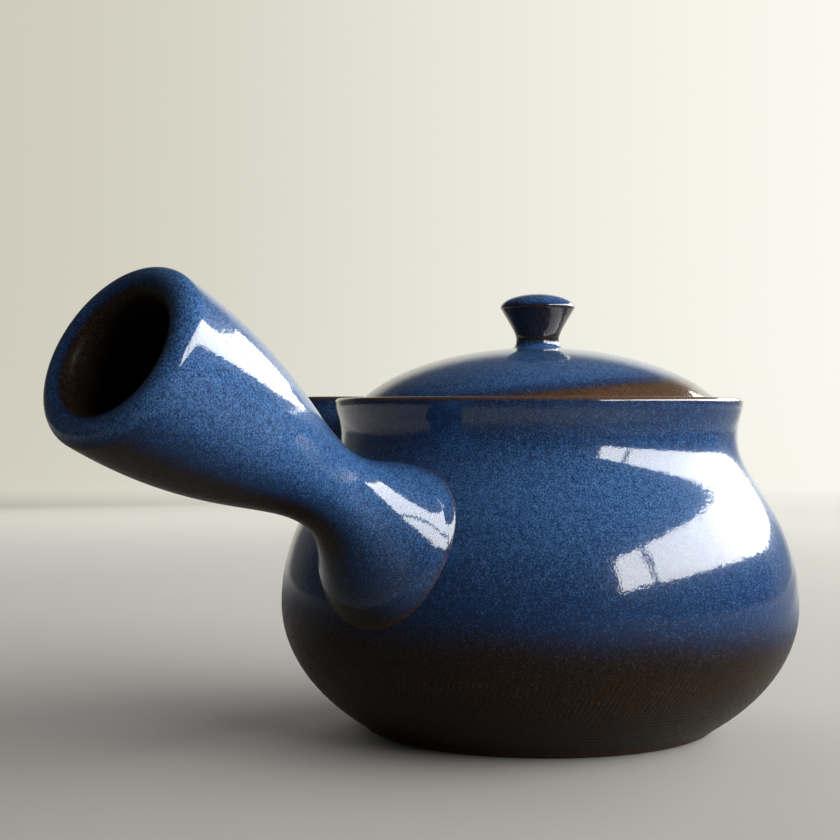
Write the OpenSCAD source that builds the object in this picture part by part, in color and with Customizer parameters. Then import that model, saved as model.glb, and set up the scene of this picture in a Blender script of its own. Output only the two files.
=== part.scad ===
// Side-handled clay teapot: thrown body, pouring spout, hollow handle, inner strainer, lid and lid knob.
// Millimetres, Z up. The origin is the centre of the flat bottom, on the table.
// The handle points along -Y and the spout along -X, as on a pot made for the right hand.

/* [Body] */
// Outer radius of the belly at its widest.
belly_r = 55; // [52:0.5:58]
// Height of the widest part of the belly above the table.
belly_z = 26.5; // [24:0.5:29]
// Radius of the flat bottom that stands on the table.
base_r = 36; // [33:0.5:39]
// Outer radius of the neck at its narrowest.
neck_r = 42.4; // [41:0.2:43.4]
// Height of the narrowest part of the neck.
neck_z = 61.8; // [60.6:0.2:63]
// Outer radius of the rim.
rim_r = 43.6; // [43.2:0.2:44.2]
// Height of the rim above the table.
rim_z = 70; // [69:0.2:72]
// Thickness of the thrown wall.
wall = 3; // [2.4:0.1:3.6]
// Thickness of the floor.
floor_t = 3.8; // [3:0.1:5]
// Thickness of the rim round the lid.
rim_t = 3; // [2.6:0.1:3.4]
// Depth of the ledge that carries the lid, below the rim.
ledge_depth = 5; // [4.4:0.1:5.4]
// Width of the ledge.
ledge_w = 4.2; // [3.4:0.1:5]
// Thickness of the ledge at its inner edge.
ledge_t = 2.4; // [1.8:0.1:2.8]

/* [Lid] */
// Running clearance between the lid and the rim, and between its skirt and the ledge.
lid_gap = 0.4; // [0.3:0.05:0.8]
// Height of the dome above the rim.
lid_crown = 10.9; // [8:0.1:13]
// Thickness of the dome.
lid_t = 3; // [2.4:0.1:3.6]
// Thickness of the lid at its edge.
lid_edge_t = 2.1; // [1.6:0.1:2.6]
// Depth of the skirt that centres the lid, below the ledge.
skirt_depth = 5; // [3:0.1:6]
// Thickness of the skirt.
skirt_t = 2.6; // [2:0.1:3.4]
// Width of the steam vent.
vent_d = 3; // [2:0.1:4]
// Distance of the steam vent from the lid's axis.
vent_at = 20; // [14:0.5:26]

/* [Lid knob] */
// Height of the knob above its seat on the lid.
knob_h = 11.8; // [10:0.1:14]
// Radius of the knob at its sharp upper edge.
knob_r = 8; // [7:0.1:9]
// Radius of the knob's waist.
knob_waist_r = 4.6; // [4:0.1:5]
// Radius of the knob's foot on the lid.
knob_foot_r = 5.8; // [5.4:0.1:6.6]
// Height of the domed top above the sharp edge.
knob_crown = 3.1; // [2:0.1:4]

/* [Handle] */
// Place of the handle on the shoulder curve, from the belly at 0 to the neck at 1.
handle_seat = 0.355; // [0.33:0.005:0.38]
// Rise of the handle's axis above the horizontal, in degrees.
handle_rise = 27.2; // [25:0.2:30]
// Length of the handle along its axis, from the wall to the open end.
handle_len = 73.2; // [66:0.2:82]
// Outer radius of the handle near its open end.
handle_end_r = 16.8; // [15.5:0.1:18.5]
// Outer radius of the handle's waist.
handle_waist_r = 8.2; // [7.6:0.1:8.8]
// Distance of the waist from the wall.
handle_waist_at = 17.6; // [16:0.1:20]
// Radius that the root flares to below the wall's surface, where it is joined.
handle_root_r = 18.4; // [17:0.1:19]
// Thickness of the hollow handle's wall.
handle_t = 3.4; // [2.8:0.1:4]
// Thickness of the rolled lip at the open end.
handle_lip = 6; // [5:0.1:6.6]

/* [Spout] */
// Place of the spout on the shoulder curve, from the belly at 0 to the neck at 1.
spout_seat = 0.58; // [0.55:0.005:0.61]
// Rise of the spout's axis above the horizontal, in degrees.
spout_rise = 55; // [52:0.5:58]
// Height of the pouring lip above the rim.
spout_lip = 0.8; // [0:0.1:2]
// Outer radius of the spout at the pouring lip.
spout_r = 9.5; // [8.6:0.1:10.4]
// Outer radius of the spout where its axis meets the wall.
spout_root_r = 13.4; // [12.6:0.1:14.2]
// Thickness of the spout's wall.
spout_t = 2.6; // [2.2:0.1:3]

/* [Strainer] */
// Outer radius of the strainer's dome.
strainer_r = 12; // [11:0.1:12.6]
// Thickness of the strainer's dome.
strainer_t = 2; // [1.6:0.1:2.4]
// Radius of the opening in the wall behind the strainer.
port_r = 8; // [7:0.1:8.6]
// Width of each strainer hole.
strain_d = 1.5; // [1.2:0.1:1.7]
// Number of rings of holes round the middle hole.
strain_rings = 4; // [2:1:4]
// Angle between rings of holes on the dome, in degrees.
strain_step = 14; // [13:0.5:15]

/* [Hidden] */
$fn = 96;
// Small overshoot of cutting shapes past the faces they cut.
over = 1;

// Lower body: part of an ellipse from the bottom edge to the belly.
low_a = acos(base_r / belly_r);
low_h = belly_z / sin(low_a);
low_in_r = belly_r - wall;
low_in_h = low_h - wall;
low_in_a = asin((belly_z - floor_t) / low_in_h);

// Shoulder: one curve from the upright belly to the upright neck.
// The two shares say how far up the belly's fullness and how far down the neck's hollow reach.
belly_share = 0.59;
neck_share = 0.286;
shoulder = wall_curve([belly_r, belly_z], [neck_r, neck_z]);

// Rim: the neck opens a little towards a rounded lip.
lip_r = 1;
rim_top_inner_r = 0.6;
rim_foot_z = rim_z - lip_r;
rim_curve = [
    [neck_r, neck_z],
    [neck_r, neck_z + 0.55 * (rim_foot_z - neck_z)],
    [rim_r, rim_foot_z - 0.3 * (rim_foot_z - neck_z)],
    [rim_r, rim_foot_z]
];

// Lid seat: a ledge inside the rim, carried by a sloping underside.
mouth_r = rim_r - rim_t;
throat_r = mouth_r - ledge_w;
ledge_z = rim_z - ledge_depth;
inner_neck_r = neck_r - wall;
inner_neck_z = ledge_z - ledge_t - (inner_neck_r - throat_r);
inner_shoulder = wall_curve([belly_r - wall, belly_z], [inner_neck_r, inner_neck_z]);

// Lid: the dome is part of an ellipse a little wider than the lid itself.
lid_r = mouth_r - lid_gap;
skirt_r = throat_r - lid_gap;
dome_spread = 1.05;
dome_a = dome_spread * lid_r;
dome_top = rim_z + lid_crown;
dome_edge_z = ledge_z + lid_edge_t;
dome_h = (dome_top - dome_edge_z) / (1 - sqrt(1 - 1 / (dome_spread * dome_spread)));
dome_z = dome_top - dome_h;
dome_seat_a = asin(knob_foot_r / dome_a);
dome_edge_a = asin(lid_r / dome_a);
dome_in_a = dome_a - lid_t;
dome_in_h = dome_h - lid_t;
skirt_in_r = skirt_r - skirt_t;
dome_in_edge_a = asin(skirt_in_r / dome_in_a);
lid_bevel = 0.5;

// Knob: it stands on a small flat at the top of the dome.
knob_seat_z = dome_z + dome_h * cos(dome_seat_a);
knob_top_z = knob_seat_z + knob_h;
knob_edge_z = knob_top_z - knob_crown;
knob_waist_z = knob_seat_z + 0.17 * knob_h;

// Handle: places along its own axis, from the wall outwards.
handle_at = bezier(shoulder, handle_seat);
handle_lip_r = handle_lip / 2;
handle_lip_at = handle_len - handle_lip_r;
handle_lip_back = handle_lip_at - 2 * handle_lip;
handle_flare_from = handle_waist_at + 0.24 * (handle_lip_at - handle_waist_at);
handle_flare_to = handle_waist_at + 0.45 * (handle_lip_at - handle_waist_at);
handle_bore_r = handle_waist_r - handle_t;
handle_inner_r = handle_end_r - handle_t;
handle_mouth_r = handle_end_r - handle_lip;
handle_root_bore_r = handle_root_r - 2.4 * handle_t;
handle_root_drop = 6;
handle_inside = 14;

// Spout: its axis leaves the wall at the seat and ends at the level pouring lip.
spout_at = bezier(shoulder, spout_seat);
spout_lip_z = rim_z + spout_lip;
spout_len = (spout_lip_z - spout_at[1]) / sin(spout_rise);
spout_inside = 20;
spout_past = 12;
spout_slope = (spout_root_r - spout_r) / spout_len;

// Strainer: its dome stands on the inner wall, square to the shoulder curve.
shoulder_slope = bezier_way(shoulder, spout_seat);
port_rise = atan2(-shoulder_slope[0], shoulder_slope[1]);
strainer_at = [
    spout_at[0] - wall * cos(port_rise),
    spout_at[1] - wall * sin(port_rise)
];

// Control points of a wall that leaves the belly upright and reaches the neck upright.
function wall_curve(belly, neck) = [
    belly,
    belly + [0, belly_share * (neck[1] - belly[1])],
    neck - [0, neck_share * (neck[1] - belly[1])],
    neck
];

// Point of a cubic curve with four control points.
function bezier(p, t) =
    pow(1 - t, 3) * p[0] + 3 * pow(1 - t, 2) * t * p[1] + 3 * (1 - t) * t * t * p[2] + pow(t, 3) * p[3];

// Direction of such a curve.
function bezier_way(p, t) =
    3 * pow(1 - t, 2) * (p[1] - p[0]) + 6 * (1 - t) * t * (p[2] - p[1]) + 3 * t * t * (p[3] - p[2]);

// Points along a cubic curve without its first point, in a number of steps.
function along(p, steps) = [for (i = [1:steps]) bezier(p, i / steps)];

// Points on an ellipse round [0, z], from angle a0 to a1 measured from the axis.
function ellipse_arc(a, h, z, a0, a1, steps) =
    [for (i = [0:steps]) let (q = a0 + (a1 - a0) * i / steps) [a * sin(q), z + h * cos(q)]];

// Points on a round edge.
function round_edge(centre, r, a0, a1, steps) =
    [for (i = [0:steps]) let (q = a0 + (a1 - a0) * i / steps) centre + r * [cos(q), sin(q)]];

// A list in the other order.
function turned(list) = [for (i = [len(list) - 1:-1:0]) list[i]];

// Outer outline of the body, from the bottom edge up to the shoulder and rim.
function body_outline() = concat(
    [for (i = [0:9]) let (q = low_a * (1 - i / 9)) [belly_r * cos(q), belly_z - low_h * sin(q)]],
    along(shoulder, 16),
    along(rim_curve, 5)
);

// Inner outline of the body, from the ledge's underside down to the floor.
function cavity_outline() = concat(
    turned(along(inner_shoulder, 16)),
    [for (i = [0:9]) let (q = low_in_a * i / 9) [low_in_r * cos(q), belly_z - low_in_h * sin(q)]]
);

// The body's outer form without any hollow, which trims what is joined to the wall.
module body_form() {
    rotate_extrude()
        polygon(concat([[0, 0]], body_outline(), [[0, rim_foot_z]]));
}

// The space inside the body below the ledge, which trims what stands on the inner wall.
module cavity_form() {
    rotate_extrude()
        polygon(concat([[0, inner_neck_z]], cavity_outline(), [[0, floor_t]]));
}

// Places its children on the spout's side, at a point of the body's outline, with Z tilted up by rise.
module on_spout_side(at, rise) {
    translate([-at[0], 0, at[1]])
        rotate([0, rise - 90, 0])
            children();
}

// Thrown body with floor, rim, lid ledge and the opening behind the strainer.
module body() {
    color("SteelBlue")
    difference() {
        rotate_extrude()
            polygon(concat(
                [[0, 0]],
                body_outline(),
                round_edge([rim_r - lip_r, rim_foot_z], lip_r, 15, 90, 4),
                round_edge([mouth_r + rim_top_inner_r, rim_z - rim_top_inner_r], rim_top_inner_r, 90, 180, 3),
                [[mouth_r, ledge_z], [throat_r, ledge_z], [throat_r, ledge_z - ledge_t]],
                cavity_outline(),
                [[0, floor_t]]
            ));
        on_spout_side(spout_at, port_rise)
            translate([0, 0, -3 * wall])
                cylinder(r = port_r, h = 5 * wall);
    }
}

// Tapered spout, joined to the shoulder and cut level at the pouring lip.
module spout() {
    color("RoyalBlue")
    difference() {
        on_spout_side(spout_at, spout_rise)
            translate([0, 0, -spout_inside])
                cylinder(
                    r1 = spout_root_r + spout_inside * spout_slope,
                    r2 = spout_r - spout_past * spout_slope,
                    h = spout_inside + spout_len + spout_past
                );
        on_spout_side(spout_at, spout_rise)
            translate([0, 0, -spout_inside - over])
                cylinder(
                    r1 = spout_root_r - spout_t + (spout_inside + over) * spout_slope,
                    r2 = spout_r - spout_t - (spout_past + over) * spout_slope,
                    h = spout_inside + spout_len + spout_past + 2 * over
                );
        body_form();
        translate([-2 * belly_r, -belly_r, spout_lip_z])
            cube([2 * belly_r, 2 * belly_r, belly_r]);
    }
}

// Hollow handle: flange on the wall, narrow waist, trumpet end with a rolled lip and an open bore.
module handle() {
    color("MidnightBlue")
    difference() {
        translate([0, -handle_at[0], handle_at[1]])
            rotate([90 - handle_rise, 0, 0])
                rotate_extrude()
                    polygon(concat(
                        [[handle_root_r, -handle_inside], [handle_root_r, -handle_root_drop]],
                        along([
                            [handle_root_r, -handle_root_drop],
                            [handle_waist_r + 0.45 * (handle_root_r - handle_waist_r), 0.25 * handle_waist_at],
                            [handle_waist_r, 0.5 * handle_waist_at],
                            [handle_waist_r, handle_waist_at]
                        ], 10),
                        along([
                            [handle_waist_r, handle_waist_at],
                            [handle_waist_r, handle_flare_from],
                            [handle_end_r, handle_flare_to],
                            [handle_end_r, handle_lip_at]
                        ], 14),
                        round_edge([handle_end_r - handle_lip_r, handle_lip_at], handle_lip_r, 15, 180, 11),
                        along([
                            [handle_mouth_r, handle_lip_at],
                            [handle_mouth_r, handle_lip_at - handle_lip],
                            [handle_inner_r, handle_lip_at - handle_lip],
                            [handle_inner_r, handle_lip_back]
                        ], 6),
                        along([
                            [handle_inner_r, handle_lip_back],
                            [handle_inner_r, handle_flare_to],
                            [handle_bore_r, handle_flare_from],
                            [handle_bore_r, handle_waist_at]
                        ], 12),
                        along([
                            [handle_bore_r, handle_waist_at],
                            [handle_bore_r, 0.45 * handle_waist_at],
                            [handle_root_bore_r, 0.2 * handle_waist_at],
                            [handle_root_bore_r, -handle_inside]
                        ], 6)
                    ));
        body_form();
    }
}

// Strainer: a drilled dome on the inner wall over the opening to the spout.
module strainer() {
    color("Peru")
    intersection() {
        on_spout_side(strainer_at, port_rise)
            difference() {
                sphere(r = strainer_r);
                sphere(r = strainer_r - strainer_t);
                strainer_drill(0, 0);
                for (ring = [1:strain_rings])
                    for (i = [0:6 * ring - 1])
                        strainer_drill(ring * strain_step, (i + ring / 2) * 60 / ring);
            }
        cavity_form();
    }
}

// One hole of the strainer, at an angle off the dome's axis and an angle round it.
module strainer_drill(off, round) {
    rotate([180, 0, round])
        rotate([off, 0, 0])
            translate([0, 0, strainer_r - strainer_t - over])
                cylinder(d = strain_d, h = strainer_t + 2 * over);
}

// Domed lid with a centring skirt below and a steam vent on the spout's side.
module lid() {
    color("CornflowerBlue")
    difference() {
        rotate_extrude()
            polygon(concat(
                [[0, knob_seat_z]],
                ellipse_arc(dome_a, dome_h, dome_z, dome_seat_a, dome_edge_a, 14),
                [[lid_r, ledge_z + lid_bevel], [lid_r - lid_bevel, ledge_z], [skirt_r, ledge_z]],
                [[skirt_r, ledge_z - skirt_depth + lid_bevel], [skirt_r - lid_bevel, ledge_z - skirt_depth]],
                [[skirt_in_r, ledge_z - skirt_depth]],
                turned(ellipse_arc(dome_in_a, dome_in_h, dome_z, 0, dome_in_edge_a, 12))
            ));
        translate([-vent_at, 0, ledge_z])
            cylinder(d = vent_d, h = dome_top - ledge_z + over);
    }
}

// Turned knob on the lid: foot, waist, flaring side with a sharp edge and a domed top.
module lid_knob() {
    color("SlateBlue")
    rotate_extrude()
        polygon(concat(
            [[0, knob_seat_z], [knob_foot_r, knob_seat_z]],
            along([
                [knob_foot_r, knob_seat_z],
                [knob_waist_r + 0.3, knob_seat_z + 0.3],
                [knob_waist_r, knob_waist_z - 1.2],
                [knob_waist_r, knob_waist_z]
            ], 6),
            along([
                [knob_waist_r, knob_waist_z],
                [knob_waist_r, knob_waist_z + 0.2 * (knob_edge_z - knob_waist_z)],
                [knob_r - 0.4 * (knob_r - knob_waist_r), knob_edge_z - 0.35 * (knob_edge_z - knob_waist_z)],
                [knob_r, knob_edge_z]
            ], 8),
            [for (i = [1:8]) let (q = 90 * i / 8) [knob_r * cos(q), knob_edge_z + knob_crown * sin(q)]]
        ));
}

body();
spout();
handle();
strainer();
lid();
lid_knob();
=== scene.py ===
import math

import bmesh
import bpy
import numpy as np
from mathutils import Matrix, Vector


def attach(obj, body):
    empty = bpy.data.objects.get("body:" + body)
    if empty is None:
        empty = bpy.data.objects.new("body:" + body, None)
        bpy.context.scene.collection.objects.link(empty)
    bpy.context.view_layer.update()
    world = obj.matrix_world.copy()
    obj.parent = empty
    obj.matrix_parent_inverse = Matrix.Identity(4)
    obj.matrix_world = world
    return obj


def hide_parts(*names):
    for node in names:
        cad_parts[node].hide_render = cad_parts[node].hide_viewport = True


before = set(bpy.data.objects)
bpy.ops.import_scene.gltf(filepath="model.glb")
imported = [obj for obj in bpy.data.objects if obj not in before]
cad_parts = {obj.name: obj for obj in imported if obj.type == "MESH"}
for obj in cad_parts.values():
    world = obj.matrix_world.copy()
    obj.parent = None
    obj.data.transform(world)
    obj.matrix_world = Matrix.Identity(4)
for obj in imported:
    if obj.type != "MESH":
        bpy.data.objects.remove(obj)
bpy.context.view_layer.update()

# Sizes are in millimetres, as in the part's source, and meshes are written in metres.
MM = 0.001

BELLY_R = 55.0
BELLY_Z = 26.5
BELLY_SHARE = 0.59
BASE_R = 36.0
NECK_R = 42.4
NECK_Z = 61.8
NECK_SHARE = 0.286
RIM_R = 43.6
RIM_Z = 70.0
RIM_LOW_SHARE = 0.55
RIM_HIGH_SHARE = 0.3
WALL = 3.0
FLOOR_T = 3.8
LIP_R = 1.0
RIM_INNER_R = 0.6
MOUTH_R = 40.6
THROAT_R = 36.4
LEDGE_Z = 65.0
LEDGE_T = 2.4

LID_R = 40.2
LID_EDGE_T = 2.1
LID_T = 3.0
SKIRT_R = 36.0
SKIRT_IN_R = 33.4
SKIRT_DEPTH = 5.0
DOME_TOP = 80.9
DOME_SPREAD = 1.05
VENT_R = 1.5
VENT_AT = 20.0
# Heights between which the vent is drilled.
VENT_LOW = 60
VENT_HIGH = 90

KNOB_H = 11.8
KNOB_R = 8.0
KNOB_WAIST_R = 4.6
KNOB_WAIST_SHARE = 0.17
KNOB_FOOT_R = 5.8
KNOB_CROWN = 3.1

HANDLE_SEAT = 0.355
HANDLE_RISE = math.radians(27.2)
HANDLE_LEN = 73.2
HANDLE_END_R = 16.8
HANDLE_WAIST_R = 8.2
HANDLE_WAIST_AT = 17.6
HANDLE_ROOT_R = 18.4
HANDLE_ROOT_DROP = 6.0
HANDLE_T = 3.4
HANDLE_LIP = 6.0
# The wall at the handle's root is this many times as thick.
ROOT_WALLS = 2.4
FLARE_FROM_SHARE = 0.24
FLARE_TO_SHARE = 0.45

SPOUT_SEAT = 0.58
SPOUT_RISE = math.radians(55)
SPOUT_LIP_Z = 70.8
SPOUT_R = 9.5
SPOUT_ROOT_R = 13.4
SPOUT_T = 2.6
PORT_R = 8.0
# The port is drilled from this far inside the spout's seat to this far outside it.
PORT_IN = 9
PORT_OUT = 6

# How far the root of a luted piece goes into the wall that carries it.
ROOT_SINK = 0.4

# Points round each piece, and along the spout.
BODY_COLUMNS = 224
SPOUT_COLUMNS = 128
SPOUT_ROWS = 36
HANDLE_COLUMNS = 144
LID_COLUMNS = 192
KNOB_COLUMNS = 128
DRILL_COLUMNS = 64


# Curves

def bezier(points, steps):
    p = np.array(points, float)
    t = np.linspace(0, 1, steps + 1)[:, None]
    return (1 - t) ** 3 * p[0] + 3 * (1 - t) ** 2 * t * p[1] + 3 * (1 - t) * t ** 2 * p[2] + t ** 3 * p[3]


def arc(centre, radius, start, end, steps):
    """Points on a circle between two angles in degrees."""
    angle = np.radians(np.linspace(start, end, steps + 1))
    return np.array(centre) + radius * np.stack([np.cos(angle), np.sin(angle)], 1)


def ellipse(a, h, z, start, end, steps):
    """Points on an ellipse round (0, z); angles in radians, measured from the axis."""
    angle = np.linspace(start, end, steps + 1)
    return np.stack([a * np.sin(angle), z + h * np.cos(angle)], 1)


def line(a, b, steps):
    t = np.linspace(0, 1, steps + 1)[:, None]
    return np.array(a) * (1 - t) + np.array(b) * t


def join(*pieces):
    """One outline from several, without points that lie on each other."""
    points = np.concatenate(pieces)
    keep = np.ones(len(points), bool)
    keep[1:] = np.linalg.norm(np.diff(points, axis=0), axis=1) > 1e-4
    return points[keep]


def smooth(low, high, x):
    t = np.clip((x - low) / (high - low), 0, 1)
    return t * t * (3 - 2 * t)


def bump_at(x, middle, width):
    return np.exp(-((x - middle) / width) ** 2)


def wall_curve(belly, neck):
    """The shoulder, upright at the belly and at the neck."""
    rise = neck[1] - belly[1]
    return [belly, (belly[0], belly[1] + BELLY_SHARE * rise), (neck[0], neck[1] - NECK_SHARE * rise), neck]


# Meshes

def mesh_object(name, points, faces):
    """A smooth-shaded object from points in millimetres."""
    mesh = bpy.data.meshes.new(name)
    mesh.from_pydata((np.asarray(points) * MM).tolist(), [], faces)
    shell = bmesh.new()
    shell.from_mesh(mesh)
    bmesh.ops.recalc_face_normals(shell, faces=shell.faces)
    shell.to_mesh(mesh)
    shell.free()
    mesh.shade_smooth()
    piece = bpy.data.objects.new(name, mesh)
    bpy.context.scene.collection.objects.link(piece)
    return piece


def ring_faces(rows, columns, closed):
    """Quads between rings of points, one ring after the other; closed joins the last ring to the first."""
    faces = []
    for i in range(rows if closed else rows - 1):
        a = i * columns
        b = (i + 1) % rows * columns
        for j in range(columns):
            k = (j + 1) % columns
            faces.append((a + j, a + k, b + k, b + j))
    return faces


def tube(name, rows):
    """A closed skin through rings of points, from the outside over one end to the inside and back."""
    return mesh_object(name, np.concatenate(rows), ring_faces(len(rows), len(rows[0]), True))


def lathe(name, outline, columns):
    """A solid of revolution round Z from an outline that starts and ends on the axis."""
    inner = outline[1:-1]
    angle = np.arange(columns) * 2 * math.pi / columns
    rings = np.stack([
        np.outer(inner[:, 0], np.cos(angle)),
        np.outer(inner[:, 0], np.sin(angle)),
        np.repeat(inner[:, 1][:, None], columns, 1)
    ], -1).reshape(-1, 3)
    rows = len(inner)
    first = len(rings)
    points = np.concatenate([rings, [[0, 0, outline[0][1]], [0, 0, outline[-1][1]]]])
    faces = ring_faces(rows, columns, False)
    for j in range(columns):
        k = (j + 1) % columns
        faces.append((first, k, j))
        faces.append((first + 1, (rows - 1) * columns + j, (rows - 1) * columns + k))
    return mesh_object(name, points, faces)


def cut(piece, tool):
    """Takes the tool's shape out of a piece and deletes the tool."""
    modifier = piece.modifiers.new("cut", "BOOLEAN")
    modifier.operation = "DIFFERENCE"
    modifier.solver = "EXACT"
    modifier.object = tool
    bpy.context.view_layer.update()
    result = bpy.data.meshes.new_from_object(piece.evaluated_get(bpy.context.evaluated_depsgraph_get()))
    piece.modifiers.clear()
    old = piece.data
    piece.data = result
    bpy.data.meshes.remove(old)
    bpy.data.objects.remove(tool)
    result.name = piece.name


def drill(radius, low, high, place):
    """A rod for cutting a round hole, from low to high along its own Z."""
    outline = np.array([(0, low), (radius, low), (radius, high), (0, high)])
    tool = lathe("drill", outline, DRILL_COLUMNS)
    tool.data.transform(place)
    return tool


# Body

low_angle = math.acos(BASE_R / BELLY_R)
low_h = BELLY_Z / math.sin(low_angle)
low_angles = np.linspace(low_angle, 0, 61)
lower = np.stack([BELLY_R * np.cos(low_angles), BELLY_Z - low_h * np.sin(low_angles)], 1)
shoulder = wall_curve((BELLY_R, BELLY_Z), (NECK_R, NECK_Z))
rim_foot_z = RIM_Z - LIP_R
rim_rise = rim_foot_z - NECK_Z
rim = bezier([
    (NECK_R, NECK_Z),
    (NECK_R, NECK_Z + RIM_LOW_SHARE * rim_rise),
    (RIM_R, rim_foot_z - RIM_HIGH_SHARE * rim_rise),
    (RIM_R, rim_foot_z)
], 18)
body_side = join(lower, bezier(shoulder, 90), rim)

# The foot's edge is softened where the lower wall meets the flat bottom.
FOOT_SOFT = 0.7
foot_start = np.searchsorted(body_side[:, 1], FOOT_SOFT)
foot_edge = bezier([
    (BASE_R - FOOT_SOFT, 0),
    (BASE_R - 0.3 * FOOT_SOFT, 0),
    (body_side[foot_start][0] - 0.25 * FOOT_SOFT, 0.4 * FOOT_SOFT),
    body_side[foot_start]
], 6)

# The inner wall bends into the floor over this width, from a little above it.
FLOOR_BEND = 4.5
FLOOR_BEND_MID = 2.2
FLOOR_BEND_H = 0.6
inner_neck = (NECK_R - WALL, LEDGE_Z - LEDGE_T - (NECK_R - WALL - THROAT_R))
inner_shoulder = bezier(wall_curve((BELLY_R - WALL, BELLY_Z), inner_neck), 60)
low_in_r = BELLY_R - WALL
low_in_h = low_h - WALL
low_in_angles = np.linspace(0, math.asin((BELLY_Z - FLOOR_T - FLOOR_BEND_H) / low_in_h), 31)
inner_lower = np.stack([low_in_r * np.cos(low_in_angles), BELLY_Z - low_in_h * np.sin(low_in_angles)], 1)
wall_end = inner_lower[-1]
floor_edge = bezier([
    wall_end,
    wall_end - (0.2 * FLOOR_BEND, 0.75 * FLOOR_BEND_H),
    (wall_end[0] - FLOOR_BEND_MID, FLOOR_T),
    (wall_end[0] - FLOOR_BEND, FLOOR_T)
], 8)

# The flat bottom and the floor have rings of points between these radii.
CENTRE_R = 4
BOTTOM_R = 34
FLOOR_R = 40

LEDGE_SOFT = 0.4
UNDER_SOFT = 0.5
ledge_low = LEDGE_Z - LEDGE_T
body_outline = join(
    [(0, 0)],
    line((CENTRE_R, 0), (BOTTOM_R, 0), 4),
    foot_edge,
    body_side[foot_start:],
    arc((RIM_R - LIP_R, rim_foot_z), LIP_R, 0, 90, 8),
    arc((MOUTH_R + RIM_INNER_R, RIM_Z - RIM_INNER_R), RIM_INNER_R, 90, 180, 6),
    line((MOUTH_R, RIM_Z - RIM_INNER_R), (MOUTH_R, LEDGE_Z + LEDGE_SOFT), 5),
    arc((MOUTH_R - LEDGE_SOFT, LEDGE_Z + LEDGE_SOFT), LEDGE_SOFT, 0, -90, 4),
    line((MOUTH_R - LEDGE_SOFT, LEDGE_Z), (THROAT_R + LEDGE_SOFT, LEDGE_Z), 4),
    arc((THROAT_R + LEDGE_SOFT, LEDGE_Z - LEDGE_SOFT), LEDGE_SOFT, 90, 180, 4),
    line((THROAT_R, LEDGE_Z - LEDGE_SOFT), (THROAT_R, ledge_low + 0.6 * UNDER_SOFT), 2),
    arc((THROAT_R + UNDER_SOFT, ledge_low + 0.4 * UNDER_SOFT), UNDER_SOFT, 180, 225, 3),
    inner_shoulder[::-1],
    inner_lower,
    floor_edge,
    line((FLOOR_R, FLOOR_T), (CENTRE_R, FLOOR_T), 4)[1:],
    [(0, FLOOR_T)]
)


def wall_radius(z):
    """Outer radius of the body at a height."""
    return np.interp(z, body_side[:, 1], body_side[:, 0])


# The seats of the spout and the handle are shares of the way up the shoulder.
SEAT_STEPS = 1000
seats = bezier(shoulder, SEAT_STEPS)
spout_at = seats[int(round(SPOUT_SEAT * SEAT_STEPS))]
handle_at = seats[int(round(HANDLE_SEAT * SEAT_STEPS))]
port_step = int(SPOUT_SEAT * SEAT_STEPS)
seat_way = seats[port_step + 1] - seats[port_step - 1]
port_rise = math.atan2(-seat_way[0], seat_way[1])


def spout_side(at, rise):
    """Placement on the spout's side with Z along an axis that rises by an angle."""
    turn = Matrix.Rotation(rise - math.pi / 2, 4, "Y")
    return Matrix.Translation(Vector((-at[0] * MM, 0, at[1] * MM))) @ turn


body = lathe("teapot_body", body_outline, BODY_COLUMNS)
cut(body, drill(PORT_R, -PORT_IN, PORT_OUT, spout_side(spout_at, port_rise)))


# Spout

def root_trim(curves, sink):
    """Shortens curves that run towards the body so that each ends where it meets the wall, sunk in a little.
    The curves are rows of points from the far end to the wall."""
    count = curves.shape[1]
    result = np.empty_like(curves)
    for i, points in enumerate(curves):
        gap = np.hypot(points[:, 0], points[:, 1]) - wall_radius(points[:, 2]) + sink
        inside = np.nonzero(gap < 0)[0]
        last = inside[0] if len(inside) else count - 1
        share = gap[last - 1] / (gap[last - 1] - gap[last]) if gap[last] < 0 else 1.0
        at = np.linspace(0, last - 1 + share, count)
        for axis in range(3):
            result[i, :, axis] = np.interp(at, np.arange(count), points[:, axis])
    return result


spout_len = (SPOUT_LIP_Z - spout_at[1]) / math.sin(SPOUT_RISE)
spout_slope = (SPOUT_ROOT_R - SPOUT_R) / spout_len
spout_out = np.array([-math.cos(SPOUT_RISE), 0, math.sin(SPOUT_RISE)])
spout_up = np.array([math.sin(SPOUT_RISE), 0, math.cos(SPOUT_RISE)])
spout_root = np.array([-spout_at[0], 0, spout_at[1]])
LIP_SOFT = 0.9
# The cone is drawn this far past both ends before it is trimmed.
CONE_BELOW = 20.0
CONE_ABOVE = 12.0


def spout_wall(inset, top_z):
    """Straight lines down the spout's cone, from a level lip to the body's wall."""
    low_s = -CONE_BELOW
    high_s = spout_len + CONE_ABOVE
    curves = []
    for j in range(SPOUT_COLUMNS):
        angle = 2 * math.pi * j / SPOUT_COLUMNS
        spoke = math.cos(angle) * spout_up + math.sin(angle) * np.array([0, 1, 0])
        low_p = spout_root + low_s * spout_out + (SPOUT_ROOT_R - inset - low_s * spout_slope) * spoke
        high_p = spout_root + high_s * spout_out + (SPOUT_ROOT_R - inset - high_s * spout_slope) * spoke
        share = (top_z - low_p[2]) / (high_p[2] - low_p[2])
        curves.append(line(low_p + share * (high_p - low_p), low_p, SPOUT_ROWS - 1))
    return np.array(curves)


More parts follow.
